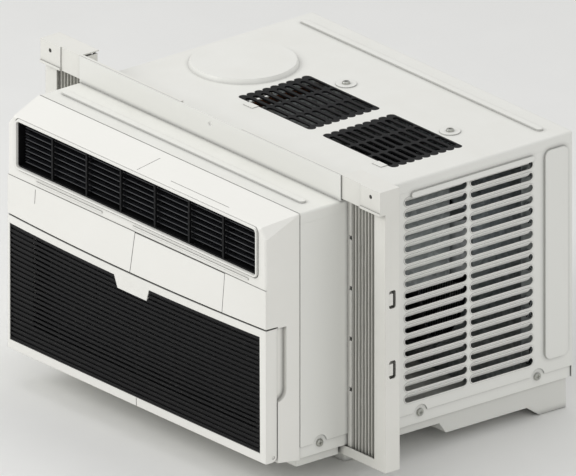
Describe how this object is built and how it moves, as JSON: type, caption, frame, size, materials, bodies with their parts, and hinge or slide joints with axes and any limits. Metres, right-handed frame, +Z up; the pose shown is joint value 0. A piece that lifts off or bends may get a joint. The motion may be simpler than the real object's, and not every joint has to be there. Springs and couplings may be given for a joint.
{
  "type": "window air conditioner",
  "caption": "Through-the-window room air conditioner with a louvred steel cabinet, a hinged intake grille, an outlet of coupled vanes and sliding side curtains.",
  "frame": {"origin": "centre of the whole unit's footprint, on the plane that its feet stand on", "axes": "+X is the unit's width, -Y is the room side with the grille, +Y is outdoors, +Z is up"},
  "size_m": [0.612, 0.456, 0.373],
  "materials": {
    "cabinet_steel": "white stoved enamel, satin",
    "pan_steel": "white enamel, satin",
    "rail_steel": "white enamel, satin",
    "front_plastic": "white moulded, fine satin",
    "curtain_plastic": "white moulded, satin",
    "curtain_film": "white folded film",
    "vent_plastic": "black moulded",
    "outlet_plastic": "dark grey moulded",
    "mesh_plastic": "black moulded mesh",
    "filter_plastic": "dark moulded",
    "filter_net": "fine black net",
    "screw_steel": "zinc plated",
    "rubber_parts": "black rubber",
    "coil_fins": "bare fins",
    "galvanised_steel": "galvanised",
    "foam_board": "grey moulded foam",
    "fan_plastic": "black moulded",
    "shaft_steel": "ground",
    "black_can": "black enamel",
    "copper_parts": "copper, slightly tarnished",
    "circuit": "green board",
    "capacitor_can": "drawn can"
  },
  "bodies": {
    "chassis": {"cabinet_top": "cabinet_steel", "cabinet_side_right": "cabinet_steel", "cabinet_side_left": "cabinet_steel", "top_vent_grilles": "vent_plastic", "rear_guard": "cabinet_steel", "cabinet_screws": "screw_steel", "base_pan": "pan_steel", "front_foot": "pan_steel", "top_rail": "rail_steel", "bottom_rail": "rail_steel", "power_cord_bushing": "rubber_parts", "curtain_retainer_right": "curtain_plastic", "curtain_retainer_left": "curtain_plastic", "front_bezel": "front_plastic", "control_panel": "front_plastic", "outlet_frame": "outlet_plastic", "evaporator_coil": "coil_fins", "condenser_coil": "coil_fins", "blower_scroll": "foam_board", "air_duct": "foam_board", "fan_motor": "black_can", "motor_bracket": "galvanised_steel", "bulkhead": "galvanised_steel", "fan_shroud": "galvanised_steel", "compressor": "black_can", "compressor_mounts": "rubber_parts", "accumulator": "copper_parts", "refrigerant_pipes": "copper_parts", "control_box": "galvanised_steel", "circuit_board": "circuit", "run_capacitor": "capacitor_can"},
    "rotor": {"fan_shaft": "shaft_steel", "blower_wheel": "fan_plastic", "condenser_fan": "fan_plastic"},
    "grille": {"intake_grille": "front_plastic", "intake_mesh": "mesh_plastic"},
    "filter": {"filter_frame": "filter_plastic", "filter_mesh": "filter_net"},
    "curtain_right": {"curtain_frame_right": "curtain_plastic", "accordion_right": "curtain_film"},
    "curtain_left": {"curtain_frame_left": "curtain_plastic", "accordion_left": "curtain_film"},
    "vane_tie": {"vane_tie_bar": "outlet_plastic"},
    "deflector_tie_left": {"deflector_tie_left": "outlet_plastic"},
    "deflector_tie_right": {"deflector_tie_right": "outlet_plastic"},
    "vane_1": {"horizontal_vane_1": "outlet_plastic"},
    "vane_2": {"horizontal_vane_2": "outlet_plastic"},
    "vane_3": {"horizontal_vane_3": "outlet_plastic"},
    "vane_4": {"horizontal_vane_4": "outlet_plastic"},
    "vane_5": {"horizontal_vane_5": "outlet_plastic"},
    "vane_6": {"horizontal_vane_6": "outlet_plastic"},
    "vane_7": {"horizontal_vane_7": "outlet_plastic"},
    "deflector_left_1": {"deflector_left_1": "outlet_plastic"},
    "deflector_left_2": {"deflector_left_2": "outlet_plastic"},
    "deflector_left_3": {"deflector_left_3": "outlet_plastic"},
    "deflector_left_4": {"deflector_left_4": "outlet_plastic"},
    "deflector_right_1": {"deflector_right_1": "outlet_plastic"},
    "deflector_right_2": {"deflector_right_2": "outlet_plastic"},
    "deflector_right_3": {"deflector_right_3": "outlet_plastic"},
    "deflector_right_4": {"deflector_right_4": "outlet_plastic"}
  },
  "joints": [
    {"name": "curtain_right_slide", "type": "slide", "parent": "chassis", "child": "curtain_right", "axis": [1, 0, 0], "range_m": [0, 0.15], "deforming": ["accordion_right"]},
    {"name": "curtain_left_slide", "type": "slide", "parent": "chassis", "child": "curtain_left", "axis": [-1, 0, 0], "range_m": [0, 0.15], "deforming": ["accordion_left"]},
    {"name": "grille_hinge", "type": "hinge", "parent": "chassis", "child": "grille", "pos_m": [0, -0.2085, 0.0502], "axis": [1, 0, 0], "range_deg": [0, 65]},
    {"name": "filter_slide", "type": "slide", "parent": "chassis", "child": "filter", "axis": [0, 0, 1], "range_m": [0, 0.014]},
    {"name": "rotor_spin", "type": "hinge", "parent": "chassis", "child": "rotor", "pos_m": [0.053, 0, 0.175], "axis": [0, 1, 0], "continuous": true},
    {"name": "vane_1_pivot", "type": "hinge", "parent": "chassis", "child": "vane_1", "pos_m": [0, -0.208, 0.278], "axis": [1, 0, 0], "range_deg": [-20, 20]},
    {"name": "vane_2_pivot", "type": "hinge", "parent": "chassis", "child": "vane_2", "pos_m": [0, -0.208, 0.285], "axis": [1, 0, 0], "range_deg": [-20, 20]},
    {"name": "vane_3_pivot", "type": "hinge", "parent": "chassis", "child": "vane_3", "pos_m": [0, -0.208, 0.292], "axis": [1, 0, 0], "range_deg": [-20, 20]},
    {"name": "vane_4_pivot", "type": "hinge", "parent": "chassis", "child": "vane_4", "pos_m": [0, -0.208, 0.299], "axis": [1, 0, 0], "range_deg": [-20, 20]},
    {"name": "vane_5_pivot", "type": "hinge", "parent": "chassis", "child": "vane_5", "pos_m": [0, -0.208, 0.306], "axis": [1, 0, 0], "range_deg": [-20, 20]},
    {"name": "vane_6_pivot", "type": "hinge", "parent": "chassis", "child": "vane_6", "pos_m": [0, -0.208, 0.313], "axis": [1, 0, 0], "range_deg": [-20, 20]},
    {"name": "vane_7_pivot", "type": "hinge", "parent": "chassis", "child": "vane_7", "pos_m": [0, -0.208, 0.32], "axis": [1, 0, 0], "range_deg": [-20, 20]},
    {"name": "vane_tie_slide", "type": "slide", "parent": "chassis", "child": "vane_tie", "axis": [0, 0, 1], "range_m": [-0.0021, 0.0021]},
    {"name": "deflector_left_1_pivot", "type": "hinge", "parent": "chassis", "child": "deflector_left_1", "pos_m": [-0.0265, -0.184, 0.299], "axis": [0, 0, 1], "range_deg": [-30, 30]},
    {"name": "deflector_left_2_pivot", "type": "hinge", "parent": "chassis", "child": "deflector_left_2", "pos_m": [-0.0795, -0.184, 0.299], "axis": [0, 0, 1], "range_deg": [-30, 30]},
    {"name": "deflector_left_3_pivot", "type": "hinge", "parent": "chassis", "child": "deflector_left_3", "pos_m": [-0.1325, -0.184, 0.299], "axis": [0, 0, 1], "range_deg": [-30, 30]},
    {"name": "deflector_left_4_pivot", "type": "hinge", "parent": "chassis", "child": "deflector_left_4", "pos_m": [-0.1855, -0.184, 0.299], "axis": [0, 0, 1], "range_deg": [-30, 30]},
    {"name": "deflector_tie_left_slide", "type": "slide", "parent": "chassis", "child": "deflector_tie_left", "axis": [1, 0, 0], "range_m": [-0.0032, 0.0032]},
    {"name": "deflector_right_1_pivot", "type": "hinge", "parent": "chassis", "child": "deflector_right_1", "pos_m": [0.0265, -0.184, 0.299], "axis": [0, 0, 1], "range_deg": [-30, 30]},
    {"name": "deflector_right_2_pivot", "type": "hinge", "parent": "chassis", "child": "deflector_right_2", "pos_m": [0.0795, -0.184, 0.299], "axis": [0, 0, 1], "range_deg": [-30, 30]},
    {"name": "deflector_right_3_pivot", "type": "hinge", "parent": "chassis", "child": "deflector_right_3", "pos_m": [0.1325, -0.184, 0.299], "axis": [0, 0, 1], "range_deg": [-30, 30]},
    {"name": "deflector_right_4_pivot", "type": "hinge", "parent": "chassis", "child": "deflector_right_4", "pos_m": [0.1855, -0.184, 0.299], "axis": [0, 0, 1], "range_deg": [-30, 30]},
    {"name": "deflector_tie_right_slide", "type": "slide", "parent": "chassis", "child": "deflector_tie_right", "axis": [1, 0, 0], "range_m": [-0.0032, 0.0032]}
  ],
  "couplings": [
    {"joint": "vane_2_pivot", "follows": "vane_1_pivot", "ratio": 1},
    {"joint": "vane_3_pivot", "follows": "vane_1_pivot", "ratio": 1},
    {"joint": "vane_4_pivot", "follows": "vane_1_pivot", "ratio": 1},
    {"joint": "vane_5_pivot", "follows": "vane_1_pivot", "ratio": 1},
    {"joint": "vane_6_pivot", "follows": "vane_1_pivot", "ratio": 1},
    {"joint": "vane_7_pivot", "follows": "vane_1_pivot", "ratio": 1},
    {"joint": "vane_tie_slide", "follows": "vane_1_pivot", "m_per_rad": 0.006},
    {"joint": "deflector_left_2_pivot", "follows": "deflector_left_1_pivot", "ratio": 1},
    {"joint": "deflector_left_3_pivot", "follows": "deflector_left_1_pivot", "ratio": 1},
    {"joint": "deflector_left_4_pivot", "follows": "deflector_left_1_pivot", "ratio": 1},
    {"joint": "deflector_tie_left_slide", "follows": "deflector_left_1_pivot", "m_per_rad": -0.006},
    {"joint": "deflector_right_2_pivot", "follows": "deflector_right_1_pivot", "ratio": 1},
    {"joint": "deflector_right_3_pivot", "follows": "deflector_right_1_pivot", "ratio": 1},
    {"joint": "deflector_right_4_pivot", "follows": "deflector_right_1_pivot", "ratio": 1},
    {"joint": "deflector_tie_right_slide", "follows": "deflector_right_1_pivot", "m_per_rad": -0.006}
  ]
}
